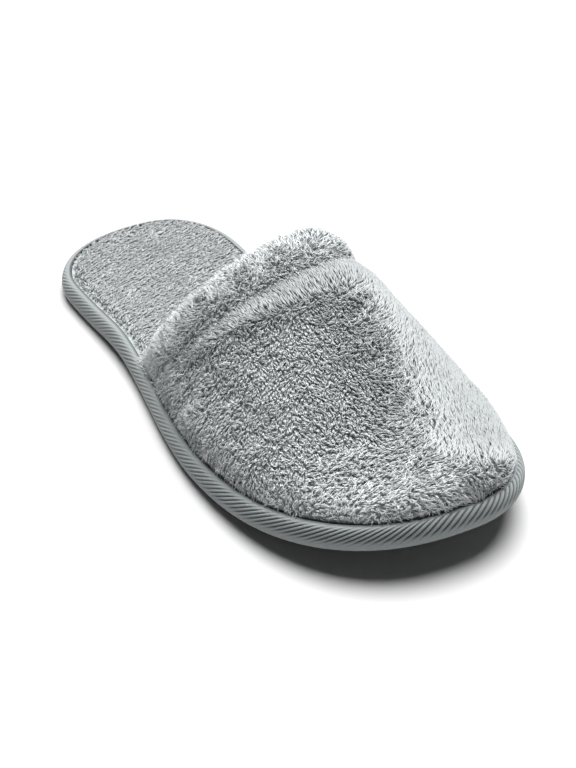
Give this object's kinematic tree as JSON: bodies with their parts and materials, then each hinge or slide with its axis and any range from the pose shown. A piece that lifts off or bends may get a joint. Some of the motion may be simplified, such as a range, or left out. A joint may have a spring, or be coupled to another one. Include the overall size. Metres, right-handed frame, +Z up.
{
  "type": "spa slipper",
  "caption": "Closed-toe terry mule slipper for the right foot: open heel, folded cuff at the throat, padded footbed, thin foam sole with a bound edge.",
  "frame": {"origin": "on the floor, under the centre of the footprint's bounding box", "axes": "+Y from toe to heel along the sole, +X towards the big-toe side, +Z up"},
  "size_m": [0.116, 0.276, 0.0705],
  "materials": {
    "foam_sole": "matt closed-cell foam with a fine tread",
    "twill_tape": "matt ribbed twill",
    "terry_footbed": "short standing terry loops",
    "terry_vamp": "soft terry pile, brushed in swirls",
    "terry_cuff": "soft terry pile over a fold"
  },
  "bodies": {
    "root": {"outsole": "foam_sole", "edge_tape": "twill_tape", "footbed": "terry_footbed", "vamp": "terry_vamp", "cuff": "terry_cuff"}
  },
  "joints": []
}
